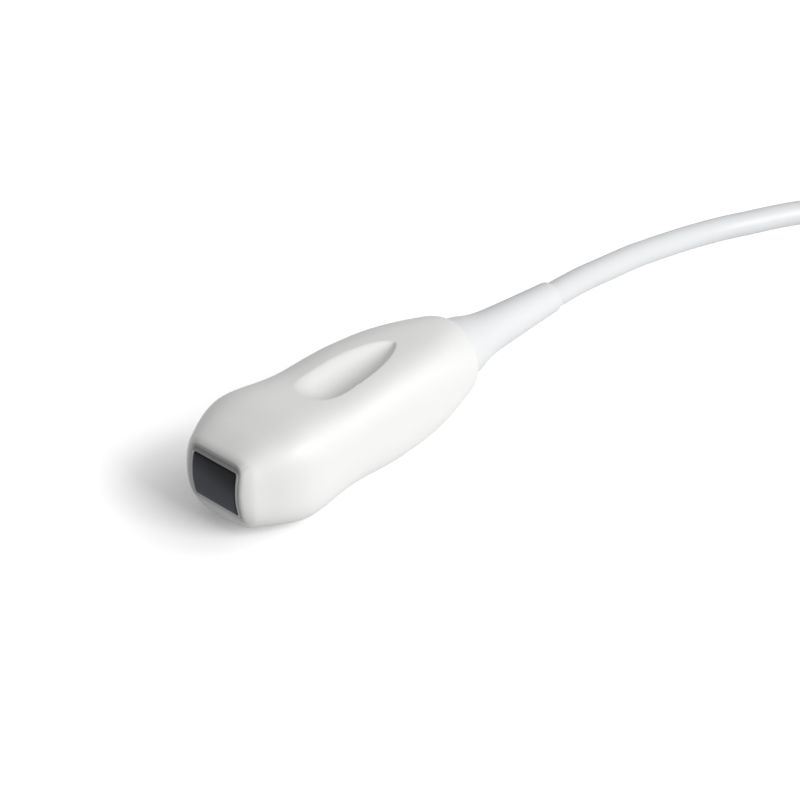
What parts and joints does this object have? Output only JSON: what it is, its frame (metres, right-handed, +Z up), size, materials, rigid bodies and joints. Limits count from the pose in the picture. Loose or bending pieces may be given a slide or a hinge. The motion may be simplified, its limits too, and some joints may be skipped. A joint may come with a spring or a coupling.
{
  "type": "ultrasound transducer probe",
  "caption": "Hand-held phased-array ultrasound transducer with a finger dimple, a bend-relief boot and a cable that ends in a rectangular system connector.",
  "frame": {"origin": "under the middle of the probe itself, from lens to boot end, on the surface it lies on", "axes": "+X from the lens along the probe towards its cable, +Y across the probe to the left of someone looking along +X, +Z up out of the dimpled face"},
  "size_m": [0.5074, 0.0773, 0.0393],
  "materials": {
    "housing": "fine satin white moulding",
    "bezel": "grey moulding",
    "lens": "smooth silicone",
    "outer_matching_layer": "filled epoxy",
    "inner_matching_layer": "filled epoxy",
    "piezo": "diced ceramic",
    "backing": "tungsten-filled rubber",
    "flex": "polyimide film",
    "aluminium": "machined",
    "rubber": "moulded",
    "board": "solder-masked laminate",
    "socket": "moulded",
    "chip": "moulded",
    "tinplate": "plated sheet",
    "screw": "plated",
    "coax": "jacketed leads",
    "boot": "soft moulding",
    "cable": "smooth jacket",
    "strap": "woven hook and loop",
    "connector_shell": "fine satin"
  },
  "bodies": {
    "root": {"acoustic_lens": "lens", "array_carrier": "aluminium", "backing_block": "backing", "board_lower": "board", "board_screw_lower_1": "screw", "board_screw_lower_2": "screw", "board_screw_lower_3": "screw", "board_screw_lower_4": "screw", "board_screw_upper_1": "screw", "board_screw_upper_2": "screw", "board_screw_upper_3": "screw", "board_screw_upper_4": "screw", "board_upper": "board", "boot_seal_ring": "rubber", "braid_ferrule": "screw", "cable": "cable", "cable_clamp_lower": "aluminium", "cable_clamp_upper": "aluminium", "cable_hank": "cable", "chassis": "aluminium", "chip_lower_1": "chip", "chip_lower_2": "chip", "chip_upper_1": "chip", "chip_upper_2": "chip", "clamp_screw_1": "screw", "clamp_screw_2": "screw", "coax_ribbon_lower": "coax", "coax_ribbon_upper": "coax", "coax_socket_lower": "socket", "coax_socket_upper": "socket", "connector_board": "board", "connector_boot": "boot", "connector_lead": "cable", "connector_shell_bottom": "connector_shell", "connector_shell_top": "connector_shell", "connector_shroud": "tinplate", "contact_block": "socket", "flex_circuit_lower": "flex", "flex_circuit_upper": "flex", "flex_socket_lower": "socket", "flex_socket_upper": "socket", "hank_strap": "strap", "inner_matching_layer": "inner_matching_layer", "lower_housing": "housing", "nose_bezel": "bezel", "nose_gasket": "rubber", "outer_matching_layer": "outer_matching_layer", "piezo_array": "piezo", "shield_can_lower": "tinplate", "shield_can_upper": "tinplate", "strain_relief_boot": "boot", "upper_housing": "housing"}
  },
  "joints": []
}
